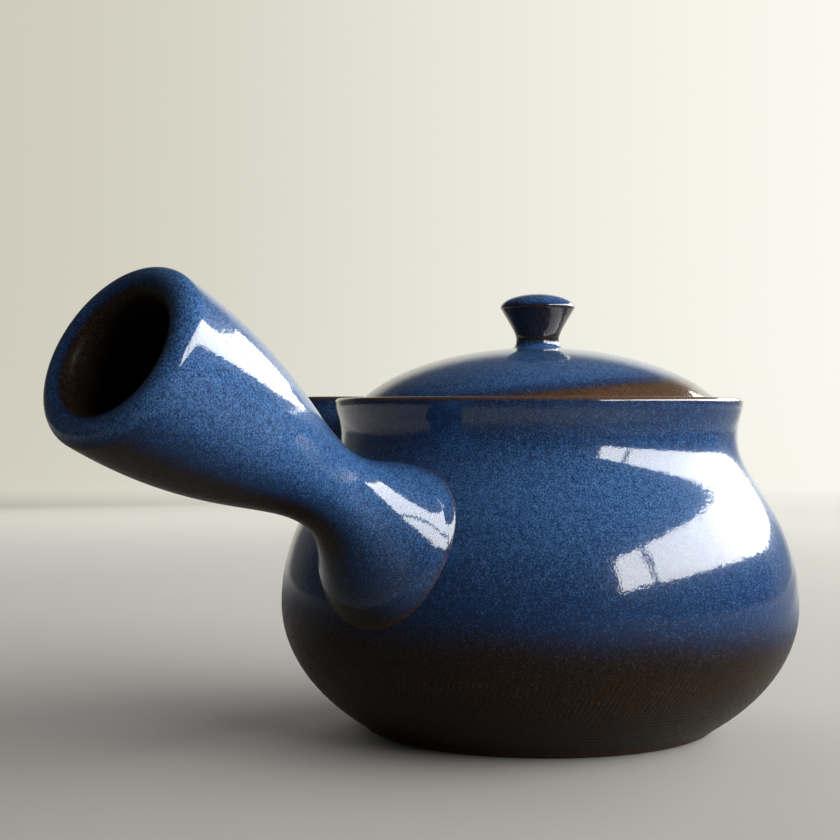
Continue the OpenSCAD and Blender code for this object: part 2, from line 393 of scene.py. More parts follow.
outer = root_trim(spout_wall(0, SPOUT_LIP_Z - LIP_SOFT), ROOT_SINK)
inner = root_trim(spout_wall(SPOUT_T, SPOUT_LIP_Z - LIP_SOFT), ROOT_SINK)
lip_angles = np.radians(np.linspace(0, 180, 11))[1:-1]
lip_mid = 0.5 * (outer[:, 0] + inner[:, 0])
lip_half = 0.5 * (outer[:, 0] - inner[:, 0])
spout_rows = [outer[:, i] for i in range(SPOUT_ROWS - 1, -1, -1)]
for angle in lip_angles:
    spout_rows.append(lip_mid + math.cos(angle) * lip_half + np.array([0, 0, LIP_SOFT * math.sin(angle)]))
spout_rows += [inner[:, i] for i in range(SPOUT_ROWS)]
spout = tube("spout_glazed", spout_rows)


# Handle

lip_at = HANDLE_LEN - HANDLE_LIP / 2
flare_from = HANDLE_WAIST_AT + FLARE_FROM_SHARE * (lip_at - HANDLE_WAIST_AT)
flare_to = HANDLE_WAIST_AT + FLARE_TO_SHARE * (lip_at - HANDLE_WAIST_AT)
bore_r = HANDLE_WAIST_R - HANDLE_T
handle_in_r = HANDLE_END_R - HANDLE_T
mouth_r = HANDLE_END_R - HANDLE_LIP
root_bore_r = HANDLE_ROOT_R - ROOT_WALLS * HANDLE_T
# The bore is drawn to this depth behind the root before it is trimmed.
BORE_BEHIND = 14

trumpet = bezier([
    (HANDLE_WAIST_R, HANDLE_WAIST_AT),
    (HANDLE_WAIST_R, flare_from),
    (HANDLE_END_R, flare_to),
    (HANDLE_END_R, lip_at)
], 70)
flare = bezier([
    (HANDLE_ROOT_R, -HANDLE_ROOT_DROP),
    (HANDLE_WAIST_R + 0.45 * (HANDLE_ROOT_R - HANDLE_WAIST_R), 0.25 * HANDLE_WAIST_AT),
    (HANDLE_WAIST_R, 0.5 * HANDLE_WAIST_AT),
    (HANDLE_WAIST_R, HANDLE_WAIST_AT)
], 200)
bore = join(
    bezier([
        (mouth_r, lip_at),
        (mouth_r, lip_at - HANDLE_LIP),
        (handle_in_r, lip_at - HANDLE_LIP),
        (handle_in_r, lip_at - 2 * HANDLE_LIP)
    ], 16),
    bezier([
        (handle_in_r, lip_at - 2 * HANDLE_LIP),
        (handle_in_r, flare_to),
        (bore_r, flare_from),
        (bore_r, HANDLE_WAIST_AT)
    ], 30)
)
root_bore = bezier([
    (bore_r, HANDLE_WAIST_AT),
    (bore_r, 0.45 * HANDLE_WAIST_AT),
    (root_bore_r, 0.2 * HANDLE_WAIST_AT),
    (root_bore_r, -BORE_BEHIND)
], 80)
end_lip = arc((HANDLE_END_R - HANDLE_LIP / 2, lip_at), HANDLE_LIP / 2, 0, 180, 24)

handle_out = np.array([0, -math.cos(HANDLE_RISE), math.sin(HANDLE_RISE)])
handle_up = np.array([0, math.sin(HANDLE_RISE), math.cos(HANDLE_RISE)])
handle_root = np.array([0, -handle_at[0], handle_at[1]])

# The centre line bows up by this much, most of all near the waist.
HANDLE_BOW = 1.85
BOW_LEAN = 0.45
BOW_ROUND = 1.4


def handle_curve(profile):
    """A profile of radius and distance along the handle, swept round its slightly bowed centre line."""
    r, s = profile[:, 0], profile[:, 1]
    bow = HANDLE_BOW * np.sin(math.pi * np.clip(s / HANDLE_LEN, 0, 1) ** BOW_LEAN) ** BOW_ROUND
    curves = []
    for j in range(HANDLE_COLUMNS):
        angle = 2 * math.pi * j / HANDLE_COLUMNS
        spoke = math.cos(angle) * handle_up + math.sin(angle) * np.array([1, 0, 0])
        curves.append(handle_root + np.outer(s, handle_out) + np.outer(bow, handle_up) + np.outer(r, spoke))
    return np.array(curves)


def every(curves, rows):
    """The same curves with fewer points."""
    at = np.linspace(0, curves.shape[1] - 1, rows)
    whole = np.arange(curves.shape[1])
    return np.stack([
        np.stack([np.interp(at, whole, points[:, axis]) for axis in range(3)], 1) for points in curves
    ])


# The root ends in a small rounded step on the wall, where the joint was wiped round.
ROOT_STEP = 0.55
STEP_WIDTH = 0.5
STEP_DROP = 0.6
STEP_SINK = 1.2
root_curves = every(root_trim(handle_curve(flare[::-1]), -ROOT_STEP), 56)
step_top = root_curves[:, -1]
step_r = np.hypot(step_top[:, 0], step_top[:, 1])
step_out = np.stack([step_top[:, 0] / step_r, step_top[:, 1] / step_r, np.zeros(len(step_r))], 1)
step_way = root_curves[:, -1] - root_curves[:, -2]
step_way /= np.linalg.norm(step_way, axis=1)[:, None]
step_rows = []
for angle in np.radians([20, 40, 60, 80]):
    over = STEP_WIDTH * math.sin(angle) * step_way
    down = STEP_DROP * (1 - math.cos(angle)) * step_out
    step_rows.append(step_top + over - down)
step_rows.append(step_rows[-1] - STEP_SINK * step_out)

mid_curves = handle_curve(join(trumpet, end_lip, bore))
bore_curves = every(root_trim(handle_curve(root_bore), ROOT_SINK), 24)
handle_rows = step_rows[::-1]
handle_rows += [root_curves[:, i] for i in range(root_curves.shape[1] - 1, 0, -1)]
handle_rows += [mid_curves[:, i] for i in range(mid_curves.shape[1])]
handle_rows += [bore_curves[:, i] for i in range(1, bore_curves.shape[1])]
bore_rows = len(bore) + bore_curves.shape[1] - 1
handle = tube("handle_glazed", handle_rows)


# Lid

dome_a = DOME_SPREAD * LID_R
dome_edge_z = LEDGE_Z + LID_EDGE_T
dome_h = (DOME_TOP - dome_edge_z) / (1 - math.sqrt(1 - 1 / DOME_SPREAD ** 2))
dome_z = DOME_TOP - dome_h
dome_edge = math.asin(LID_R / dome_a)
LID_SOFT = 0.45
SKIRT_SOFT = 0.2
EDGE_LEAN = 0.3
# The dome stops this angle short of the edge, in radians, and a soft edge takes over.
DOME_SHORT = 0.012

dome = ellipse(dome_a, dome_h, dome_z, 0, dome_edge - DOME_SHORT, 90)
dome_in = ellipse(dome_a - LID_T, dome_h - LID_T, dome_z, math.asin(SKIRT_IN_R / (dome_a - LID_T)), 0, 40)
skirt_low = LEDGE_Z - SKIRT_DEPTH
lid_outline = join(
    dome,
    bezier([
        dome[-1],
        dome[-1] + (EDGE_LEAN, -EDGE_LEAN),
        (LID_R, dome_edge_z),
        (LID_R, dome_edge_z - LID_SOFT)
    ], 6),
    line((LID_R, dome_edge_z - LID_SOFT), (LID_R, LEDGE_Z + LID_SOFT), 3),
    arc((LID_R - LID_SOFT, LEDGE_Z + LID_SOFT), LID_SOFT, 0, -90, 4),
    line((LID_R - LID_SOFT, LEDGE_Z), (SKIRT_R + SKIRT_SOFT, LEDGE_Z), 3),
    line((SKIRT_R, LEDGE_Z - SKIRT_SOFT), (SKIRT_R, skirt_low + LID_SOFT), 4),
    arc((SKIRT_R - LID_SOFT, skirt_low + LID_SOFT), LID_SOFT, 0, -90, 4),
    arc((SKIRT_IN_R + LID_SOFT, skirt_low + LID_SOFT), LID_SOFT, -90, -180, 4),
    line((SKIRT_IN_R, skirt_low + LID_SOFT), dome_in[0], 6),
    dome_in
)
lid = lathe("lid_glazed", lid_outline[::-1], LID_COLUMNS)
cut(lid, drill(VENT_R, VENT_LOW, VENT_HIGH, Matrix.Translation((-VENT_AT * MM, 0, 0))))


# Knob

knob_seat = dome_z + dome_h * math.cos(math.asin(KNOB_FOOT_R / dome_a))
knob_top = knob_seat + KNOB_H
knob_edge = knob_top - KNOB_CROWN
knob_waist = knob_seat + KNOB_WAIST_SHARE * KNOB_H
side_rise = knob_edge - knob_waist
KNOB_FILLET = 0.3
WAIST_EASE = 1.2
# The crown starts at this angle over its edge, in degrees, and a tight bend joins it to the side.
CROWN_START = 8
BEND_LEAVES = (0.2, 0.26)
BEND_ARRIVES = (0.06, -0.16)

knob_foot = bezier([
    (KNOB_FOOT_R, knob_seat),
    (KNOB_WAIST_R + KNOB_FILLET, knob_seat + KNOB_FILLET),
    (KNOB_WAIST_R, knob_waist - WAIST_EASE),
    (KNOB_WAIST_R, knob_waist)
], 16)
knob_side = bezier([
    (KNOB_WAIST_R, knob_waist),
    (KNOB_WAIST_R, knob_waist + 0.2 * side_rise),
    (KNOB_R - 0.4 * (KNOB_R - KNOB_WAIST_R), knob_edge - 0.35 * side_rise),
    (KNOB_R, knob_edge)
], 40)[:-2]
crown_angles = np.radians(np.linspace(CROWN_START, 90, 25))
knob_crown = np.stack([KNOB_R * np.cos(crown_angles), knob_edge + KNOB_CROWN * np.sin(crown_angles)], 1)
knob_bend = bezier([
    knob_side[-1],
    knob_side[-1] + BEND_LEAVES,
    knob_crown[0] + BEND_ARRIVES,
    knob_crown[0]
], 6)
knob_low = knob_seat - ROOT_SINK
knob_outline = join([(0, knob_low), (KNOB_FOOT_R, knob_low)], knob_foot, knob_side, knob_bend, knob_crown)
knob_outline[-1][0] = 0
knob = lathe("knob_glazed", knob_outline, KNOB_COLUMNS)

for piece in (body, spout, handle, lid, knob):
    piece.data.set_sharp_from_angle(angle=math.radians(60))


# What the glaze reads at each vertex, from 0 to 1: blue is the share of blue, which falls lower down the
# belly and is lowered as painted shade under the rim, on the handle's underside, in its mouth and on the
# knob's side, edge is where it ran thin, bare is unglazed clay, gloss is the clear coat, low is where
# turning rings show, and marks is where the trimming tool left marks.

SHARES = ("blue", "edge", "bare", "gloss", "low", "marks")


def vertex_values(piece, key):
    values = np.empty(len(piece.data.vertices) * 3)
    piece.data.vertices.foreach_get(key, values)
    return values.reshape(-1, 3)


def places(piece):
    """The vertices of a piece in millimetres."""
    return vertex_values(piece, "co") / MM


def paint(piece, **shares):
    """Stores the shares of a piece's vertices under their names; one that isn't given is 0."""
    for name in SHARES:
        values = np.broadcast_to(shares.get(name, 0.0), len(piece.data.vertices))
        attribute = piece.data.attributes.new(name, "FLOAT", "POINT")
        attribute.data.foreach_set("value", np.clip(values, 0, 1).astype(np.float32))


def along_axis(points, root, way):
    """Distances of points along an axis and away from it."""
    along = (points - root) @ way
    return along, np.linalg.norm(points - root - np.outer(along, way), axis=1)


# Heights between which a share changes.
BLUE_SPAN = (13, 53)
GLOSS_SPAN = (24, 35)
RIM_SHADE_SPAN = (55, 67)
BARE_FOOT_SPAN = (0.2, 2.2)
RINGS_SPAN = (8, 13)
MARKS_START_SPAN = (7, 10)
MARKS_END_SPAN = (15, 20)
SPOUT_TOP_SPAN = (66, 70.5)
SPOUT_INSIDE_SPAN = (64, 69)

# Widths over which the glaze ran thin at an edge.
RIM_WORN = 0.9
LIP_WORN = 1.1
LID_WORN = 0.8
SEAM_WORN = 0.45

# A point is on the outside of the body or the lid when it is this close to the outer curve.
ON_WALL = 0.3
ON_DOME = 0.6

# The line where the blue ends leans a little: it lies lowest towards the windows and highest on the far side
# from them.
BLUE_LEAN = 3.0
BLUE_LEAN_TO = math.radians(36)


def line_height(points):
    """Heights that allow for the lean of the blue's lower line."""
    return points[:, 2] + BLUE_LEAN * np.cos(np.arctan2(points[:, 1], points[:, 0]) - BLUE_LEAN_TO)


def blue_by_height(points):
    return smooth(*BLUE_SPAN, line_height(points))


def paint_body():
    """Under the rim the blue is darkened as painted shade, and the clay is bare inside and under the foot.
    """
    points = places(body)
    radius = np.hypot(points[:, 0], points[:, 1])
    height = points[:, 2]
    outside = (radius > wall_radius(height) - ON_WALL) & (height < RIM_Z - 0.5)
    # Painted shade: the blue's share is halved towards the rim, which darkens it to navy.
    under_rim_shade = 1 - 0.5 * smooth(*RIM_SHADE_SPAN, height)
    coated = 0.05 + 0.95 * smooth(*GLOSS_SPAN, line_height(points))
    marked = smooth(*MARKS_START_SPAN, height) * (1 - smooth(*MARKS_END_SPAN, height))
    paint(
        body,
        blue=np.where(outside, blue_by_height(points) * under_rim_shade, 0),
        edge=np.where(outside, bump_at(height, RIM_Z, RIM_WORN) * (radius > MOUTH_R + 0.5), 1),
        bare=np.where(outside | (radius > MOUTH_R + 0.2), 1 - smooth(*BARE_FOOT_SPAN, height), 1),
        gloss=np.where(outside, coated, height > RIM_Z - 1),
        low=np.where(outside, 1 - smooth(*RINGS_SPAN, height), 0),
        marks=np.where(outside, marked, 0)
    )


def paint_spout():
    """The blue thins towards the lip, and the clay is bare deep inside."""
    points = places(spout)
    height = points[:, 2]
    along, radius = along_axis(points, spout_root, spout_out)
    outside = radius > SPOUT_ROOT_R - along * spout_slope - 0.5 * SPOUT_T
    paint(
        spout,
        blue=np.where(outside, 1 - 0.5 * smooth(*SPOUT_TOP_SPAN, height), 0),
        edge=np.where(outside, bump_at(height, SPOUT_LIP_Z, LIP_WORN), 1),
        bare=np.where(outside, 0, 1 - smooth(*SPOUT_INSIDE_SPAN, height)),
        gloss=1
    )


# How far round the handle the blue, with its painted shade, and the clear coat reach, by the upward share of
# the surface's direction.
SPRAY_SHADE_SPAN = (-0.9, 0.0)
SPRAY_SHADE_FROM_RIGHT = 0.35
HANDLE_COAT_SPAN = (-0.6, 0.25)
MOUTH_SHADE_FADE = 4.4


def paint_handle():
    """The blue was sprayed on from above and a little from the right, and fades on what faces down, partly
    as a thinner spray and partly as painted shade.
    """
    points = places(handle)
    normal = vertex_values(handle, "normal")
    along, radius = along_axis(points, handle_root, handle_out)
    # Partly painted shade: the bore is all dark brown, and the blue turns to it over the inner lip, standing
    # in for the shade in the hole.
    inward = np.arange(len(points)) >= (len(handle_rows) - bore_rows) * HANDLE_COLUMNS
    at_mouth = smooth(lip_at - 0.5, lip_at + 0.5, along)
    into_mouth_shade = 1 - at_mouth * (1 - smooth(mouth_r, mouth_r + MOUTH_SHADE_FADE, radius))
    off_wall = np.hypot(points[:, 0], points[:, 1]) - wall_radius(points[:, 2])
    # Partly painted shade: less blue on faces turned down and to the left makes them navy, then brown.
    sprayed_and_shaded = smooth(*SPRAY_SHADE_SPAN, normal[:, 2] + SPRAY_SHADE_FROM_RIGHT * normal[:, 0])
    coated = 0.1 + 0.9 * smooth(*HANDLE_COAT_SPAN, normal[:, 2])
    paint(
        handle,
        blue=np.where(inward, 0, sprayed_and_shaded * into_mouth_shade * blue_by_height(points)),
        edge=np.where(inward, 0, 0.7 * bump_at(off_wall, 0.2, SEAM_WORN)),
        gloss=np.where(inward, 0, coated * into_mouth_shade)
    )


# The lid's brown band leans too: it is wide on the right and thin in front.
BAND_Z = 68.1
BAND_LEAN = 3.8
BAND_LEAN_TO = math.radians(20)
BAND_BELOW = 0.3
BAND_ABOVE = 4.7
LID_MARKS_TO = math.radians(5)


def paint_lid():
    """The blue starts over a brown band at the edge, with the marks of the tool on the right."""
    points = places(lid)
    height = points[:, 2]
    radius = np.hypot(points[:, 0], points[:, 1])
    angle = np.arctan2(points[:, 1], points[:, 0])
    dome_at = dome_z + dome_h * np.sqrt(np.clip(1 - (radius / dome_a) ** 2, 0, 1))
    outside = np.abs(height - dome_at) < ON_DOME
    band = BAND_Z + BAND_LEAN * np.cos(angle - BAND_LEAN_TO)
    band_blue = smooth(band - BAND_BELOW, band + BAND_ABOVE, height)
    right_side = smooth(0.2, 0.8, np.cos(angle - LID_MARKS_TO))
    worn = 0.6 * bump_at(radius, LID_R, LID_WORN)
    paint(
        lid,
        blue=np.where(outside, band_blue, 0),
        edge=np.where(outside, np.maximum(worn, 0.8 - band_blue), 1),
        bare=np.where(outside, 0, 1),
        gloss=np.where(outside, 1, 0),
        marks=np.where(outside, bump_at(height, band + 1.6, 1.2) * right_side, 0)
    )


KNOB_SIDE_SHADE = 0.92
KNOB_FOOT_FADE = 1.7
KNOB_CROWN_FADE = 1.5


def paint_knob():
    """The side faces down and is painted dark brown as painted shade, with hardly any blue."""
    height = places(knob)[:, 2]
    over_foot = smooth(knob_waist - KNOB_FOOT_FADE, knob_waist, height)
    under_crown = 1 - smooth(knob_edge, knob_edge + KNOB_CROWN_FADE, height)
    # Painted shade: the knob's side loses nearly all its blue and shows dark brown.
    paint(knob, blue=1 - KNOB_SIDE_SHADE * (over_foot * under_crown), gloss=1)


paint_body()
paint_spout()
paint_handle()
paint_lid()
paint_knob()


# Materials

class Nodes:
    """Short names for adding shader nodes to one material."""

    def __init__(self, name):
        self.material = bpy.data.materials.new(name)
        self.material.use_nodes = True
        self.tree = self.material.node_tree
        self.shader = self.tree.nodes["Principled BSDF"]

    def add(self, kind, **settings):
        node = self.tree.nodes.new(kind)
        for key, value in settings.items():
            setattr(node, key, value)
        return node

    def feed(self, socket, value):
        if isinstance(value, bpy.types.NodeSocket):
            self.tree.links.new(value, socket)
        else:
            socket.default_value = value

    def math(self, operation, a, b=0.0, clamp=False):
        node = self.add("ShaderNodeMath", operation=operation, use_clamp=clamp)
        self.feed(node.inputs[0], a)
        self.feed(node.inputs[1], b)
        return node.outputs[0]

    def times(self, *values):
        product = values[0]
        for value in values[1:]:
            product = self.math("MULTIPLY", product, value)
        return product

    def weighed(self, *terms):
        """A sum of values, each times its weight."""
        total = self.math("MULTIPLY", *terms[0])
        for value, weight in terms[1:]:
            total = self.math("ADD", total, self.math("MULTIPLY", value, weight))
        return total

    def span(self, value, low, high, to_low=0.0, to_high=1.0):
        """A smooth change from one number to another while a value goes from low to high."""
        node = self.add("ShaderNodeMapRange", interpolation_type="SMOOTHSTEP")
        self.feed(node.inputs["Value"], value)
        for key, number in (("From Min", low), ("From Max", high), ("To Min", to_low), ("To Max", to_high)):
            self.feed(node.inputs[key], number)
        return node.outputs["Result"]

    def mix(self, share, a, b):
        node = self.add("ShaderNodeMix", data_type="RGBA")
        self.feed(node.inputs["Factor"], share)
        self.feed(node.inputs[6], a)
        self.feed(node.inputs[7], b)
        return node.outputs[2]

    def blend(self, share, a, b):
        node = self.add("ShaderNodeMix", data_type="FLOAT")
        self.feed(node.inputs[0], share)
        self.feed(node.inputs[2], a)
        self.feed(node.inputs[3], b)
        return node.outputs[0]

    def noise(self, vector, scale, detail=2.0, roughness=0.5):
        node = self.add("ShaderNodeTexNoise")
        self.feed(node.inputs["Vector"], vector)
        self.feed(node.inputs["Scale"], scale)
        self.feed(node.inputs["Detail"], detail)
        self.feed(node.inputs["Roughness"], roughness)
        return node.outputs["Fac"]

    def ramp(self, value, *stops):
        node = self.add("ShaderNodeValToRGB")
        self.feed(node.inputs[0], value)
        elements = node.color_ramp.elements
        while len(elements) < len(stops):
            elements.new(0.5)
        for element, (place, colour) in zip(elements, stops):
            element.position = place
            element.color = (*colour, 1)
        return node.outputs["Color"]

    def painted(self, name):
        return self.add("ShaderNodeAttribute", attribute_name=name).outputs["Fac"]

    def object_mm(self):
        """Places on the object in millimetres, so that noise scales are cycles per millimetre."""
        node = self.add("ShaderNodeVectorMath", operation="SCALE")
        self.feed(node.inputs[0], self.add("ShaderNodeTexCoord").outputs["Object"])
        node.inputs["Scale"].default_value = 1 / MM
        return node.outputs[0]

    def bump(self, height, depth_mm, below=None):
        node = self.add("ShaderNodeBump")
        node.inputs["Strength"].default_value = 1.0
        node.inputs["Distance"].default_value = depth_mm * MM
        self.feed(node.inputs["Height"], height)
        if below is not None:
            self.feed(node.inputs["Normal"], below)
        return node.outputs["Normal"]


NAVY = (0.012, 0.034, 0.10)
BLUE = (0.035, 0.105, 0.275)
PALE_BLUE = (0.09, 0.215, 0.46)
# Partly painted shade: the umber and brown are darker than the brown glaze itself, to stand in for the deep
# shade low on the belly.
UMBER = (0.009, 0.0055, 0.0035)
BROWN = (0.030, 0.017, 0.010)
RUST = (0.13, 0.068, 0.038)
CLAY_DARK = (0.055, 0.028, 0.017)
CLAY = (0.105, 0.055, 0.034)
CLAY_PALE = (0.16, 0.092, 0.06)

# Noise scales are cycles per millimetre, and the depths of bumps are millimetres.
FINE_GRAIN = 3.1
MIDDLE_GRAIN = 0.8
SLOW_CLOUD = 0.045
BARE_GRAIN = 3.2
STRAINER_GRAIN = 3.0
STRAINER_CLOUD = 0.08
SKIN_WAVE = 0.7
SKIN_GRAIN = 2.4
RING_SCALE = 0.42

# Most of a noise lies between these values.
NOISE_SPAN = (0.3, 0.7)
DULL_ROUGH = (0.42, 0.54)
COATED_ROUGH = (0.22, 0.3)
BARE_ROUGH = (0.52, 0.64)
STRAINER_ROUGH = (0.5, 0.66)

CHATTER_PITCH = 1.25
CHATTER_LEAN = 0.45


def chatter_marks(m, place):
    """Leaning rows of short marks that the trimming tool left on the belly and the lid, from 0 to 1."""
    axes = m.add("ShaderNodeSeparateXYZ")
    m.feed(axes.inputs[0], place)
    around = m.math("MULTIPLY", m.math("ARCTAN2", axes.outputs["Y"], axes.outputs["X"]), BELLY_R)
    leaning = m.math("SUBTRACT", around, m.math("MULTIPLY", axes.outputs["Z"], CHATTER_LEAN))
    leaning = m.math("ADD", leaning, m.math("MULTIPLY", m.noise(place, 0.3, 1.0), 1.6))
    wave = m.math("SINE", m.math("MULTIPLY", leaning, 2 * math.pi / CHATTER_PITCH))
    mark = m.span(wave, -0.2, 0.9)
    patch = m.span(m.noise(place, 0.14, 1.0), 0.38, 0.6, 0.3, 1.0)
    return m.math("MULTIPLY", mark, m.math("MULTIPLY", m.painted("marks"), patch))


def glaze_colour(m, fine, speck, slow, chatter):
    """Blue where it was laid on thickly and brown where it is thin or ran off an edge, with painted shade
    where the blue's share was lowered.
    """
    laid_and_shade = m.painted("blue")
    thin = m.painted("edge")

    # The blue gets darker where its share is lower, before the brown shows through: lower down the belly,
    # and as painted shade under the rim, on the handle's underside, in its mouth and on the knob's side.
    tone = m.math("SUBTRACT", speck, m.math("MULTIPLY", m.math("SUBTRACT", 1.0, laid_and_shade), 0.25))
    blue = m.ramp(tone, (0.36, NAVY), (0.50, BLUE), (0.64, PALE_BLUE))
    # Partly painted shade: the brown leans to the dark end of its ramp, below its own colour.
    earth = m.weighed((speck, 0.72), (thin, 0.28), (chatter, 0.08))
    brown = m.ramp(earth, (0.28, UMBER), (0.42, BROWN), (0.66, RUST))

    clouded = m.math("SUBTRACT", slow, 0.5)
    speckled = m.math("SUBTRACT", speck, 0.5)
    cover = m.weighed((laid_and_shade, 1.0), (clouded, 0.12), (speckled, 0.24), (chatter, -0.17))
    edge = m.math("MULTIPLY", thin, m.span(fine, 0.3, 0.6, 0.6, 1.0))
    cover = m.math("SUBTRACT", m.span(cover, 0.07, 0.4), edge, clamp=True)
    return m.mix(cover, brown, blue)


def glaze_relief(m, place, chatter):
    """An uneven skin, turning rings low on the belly and the marks of the trimming tool."""
    surface = m.bump(m.noise(place, SKIN_WAVE, 1.0, 0.5), 0.02)
    surface = m.bump(m.noise(place, SKIN_GRAIN, 1.0, 0.5), 0.009, surface)
    rings = m.add("ShaderNodeTexWave", wave_type="BANDS", bands_direction="Z")
    m.feed(rings.inputs["Vector"], place)
    rings.inputs["Scale"].default_value = RING_SCALE
    rings.inputs["Distortion"].default_value = 1.2
    rings.inputs["Detail Scale"].default_value = 0.4
    surface = m.bump(m.math("MULTIPLY", rings.outputs["Fac"], m.painted("low")), 0.03, surface)
    return m.bump(chatter, 0.02, surface)


def glaze_material():
    """Speckled blue and brown glaze, with the bare clay that it leaves free."""
    m = Nodes("blue_brown_glaze")
    place = m.object_mm()
    fine = m.noise(place, FINE_GRAIN, 2.0, 0.6)
    middle = m.noise(place, MIDDLE_GRAIN, 2.0, 0.5)
    slow = m.noise(place, SLOW_CLOUD, 3.0, 0.5)
    speck = m.weighed((fine, 0.82), (middle, 0.18))
    chatter = chatter_marks(m, place)

    bare = m.painted("bare")
    grain = m.noise(place, BARE_GRAIN, 2.0, 0.6)
    clay = m.ramp(grain, (0.3, CLAY_DARK), (0.5, CLAY), (0.72, CLAY_PALE))
    m.feed(m.shader.inputs["Base Color"], m.mix(bare, glaze_colour(m, fine, speck, slow, chatter), clay))

    # A clear glaze lies over the clay, and gets thin and dull low on the belly and inside.
    gloss = m.painted("gloss")
    dull_rough = m.span(middle, *NOISE_SPAN, *DULL_ROUGH)
    coated_rough = m.span(slow, *NOISE_SPAN, *COATED_ROUGH)
    bare_rough = m.span(grain, *NOISE_SPAN, *BARE_ROUGH)
    m.feed(m.shader.inputs["Roughness"], m.blend(bare, m.blend(gloss, dull_rough, coated_rough), bare_rough))
    m.feed(m.shader.inputs["Coat Weight"], m.math("MULTIPLY", gloss, m.math("SUBTRACT", 1.0, bare)))
    m.shader.inputs["Specular IOR Level"].default_value = 0.1
    m.shader.inputs["Coat Roughness"].default_value = 0.06
    m.shader.inputs["Coat IOR"].default_value = 1.6

    surface = glaze_relief(m, place, chatter)
    m.feed(m.shader.inputs["Normal"], surface)
    m.feed(m.shader.inputs["Coat Normal"], surface)
    return m.material


def clay_material():
    """Bare fired clay for the strainer."""
    m = Nodes("bare_brown_clay")
    place = m.object_mm()
    grain = m.noise(place, STRAINER_GRAIN, 3.0, 0.6)
    slow = m.noise(place, STRAINER_CLOUD, 3.0, 0.5)
    tone = m.weighed((grain, 0.65), (slow, 0.35))
    m.feed(m.shader.inputs["Base Color"], m.ramp(tone, (0.33, CLAY_DARK), (0.5, CLAY), (0.68, CLAY_PALE)))
    m.feed(m.shader.inputs["Roughness"], m.span(grain, *NOISE_SPAN, *STRAINER_ROUGH))
    m.feed(m.shader.inputs["Normal"], m.bump(grain, 0.05))
    return m.material


def dress(piece, material):
    piece.data.materials.clear()
    piece.data.materials.append(material)


glaze = glaze_material()
for piece, owner, node in (
    (body, "pot", "body"),
    (spout, "pot", "spout"),
    (handle, "pot", "handle"),
    (lid, "lid", "lid"),
    (knob, "lid", "lid_knob"),
):
    dress(piece, glaze)
    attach(piece, owner)
    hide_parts(node)
dress(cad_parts["strainer"], clay_material())


# Stage: a floor that curves up into a wall, square to the view. Its sizes are in metres.

VIEW_AZIMUTH = math.radians(36)
CAMERA_AWAY = 0.351
# Sideways reach of the picture's right border for each unit of distance from the camera.
RIGHT_SLOPE = 0.183
FLOOR_FRONT = -1.6
FLOOR_BACK = 1.5
COVE_R = 0.3
STAGE_HALF = 2.4
STAGE_HIGH = 2.2
STAGE_DARK = (0.1, 0.098, 0.094, 1)
STAGE_PALE = (0.42, 0.41, 0.385)
STAGE_PALEST = (0.45, 0.44, 0.41)
# Painted light on the wall's glow: darker and yellower on the left, brighter on the right.
WALL_LEFT = (0.62, 0.60, 0.50, 1)
WALL_RIGHT = (0.96, 0.955, 0.87, 1)
STAGE_CLOUD = 0.004

# Distances in millimetres between which the stage's paint gets dim outside the picture.
FRONT_FADE = (-260, -110)
TOP_FADE = (1000, 560)
RIGHT_FADE = (170, 30)
# The same for the wall's painted light, which starts behind the pot and gets brighter and changes its tint
# from left to right.
WALL_START = (350, 1150)
WALL_TOP_FADE = (950, 540)
WALL_RIGHT_FADE = (1000, 420)
WALL_LEFT_FADE = (-1050, -680)
WALL_LIGHT_SPAN = (-700, 450)

# What is left of the wall's light there, and how much of the pale paint bounced light doesn't see.
WALL_TOP_DIM = 0.06
WALL_RIGHT_DIM = 0.2
WALL_LEFT_DIM = 0.05
BOUNCE_LOSS = 0.7

away = np.array([-math.sin(VIEW_AZIMUTH), math.cos(VIEW_AZIMUTH)])
across = np.array([math.cos(VIEW_AZIMUTH), math.sin(VIEW_AZIMUTH)])


def stage_sweep():
    """The stage's mesh, swept from side to side."""
    cove_angles = np.radians(np.linspace(-90, 0, 17))
    cove = np.stack([
        FLOOR_BACK - COVE_R + COVE_R * np.cos(cove_angles),
        COVE_R + COVE_R * np.sin(cove_angles)
    ], 1)
    sweep = np.concatenate([[(FLOOR_FRONT, 0)], cove, [(FLOOR_BACK, STAGE_HIGH)]])
    points = []
    for side in (-STAGE_HALF, STAGE_HALF):
        for depth, height in sweep:
            flat = depth * away + side * across
            points.append((flat[0] / MM, flat[1] / MM, height / MM))
    count = len(sweep)
    faces = [(i, count + i, count + i + 1, i + 1) for i in range(count - 1)]
    return mesh_object("stage_sweep", points, faces)


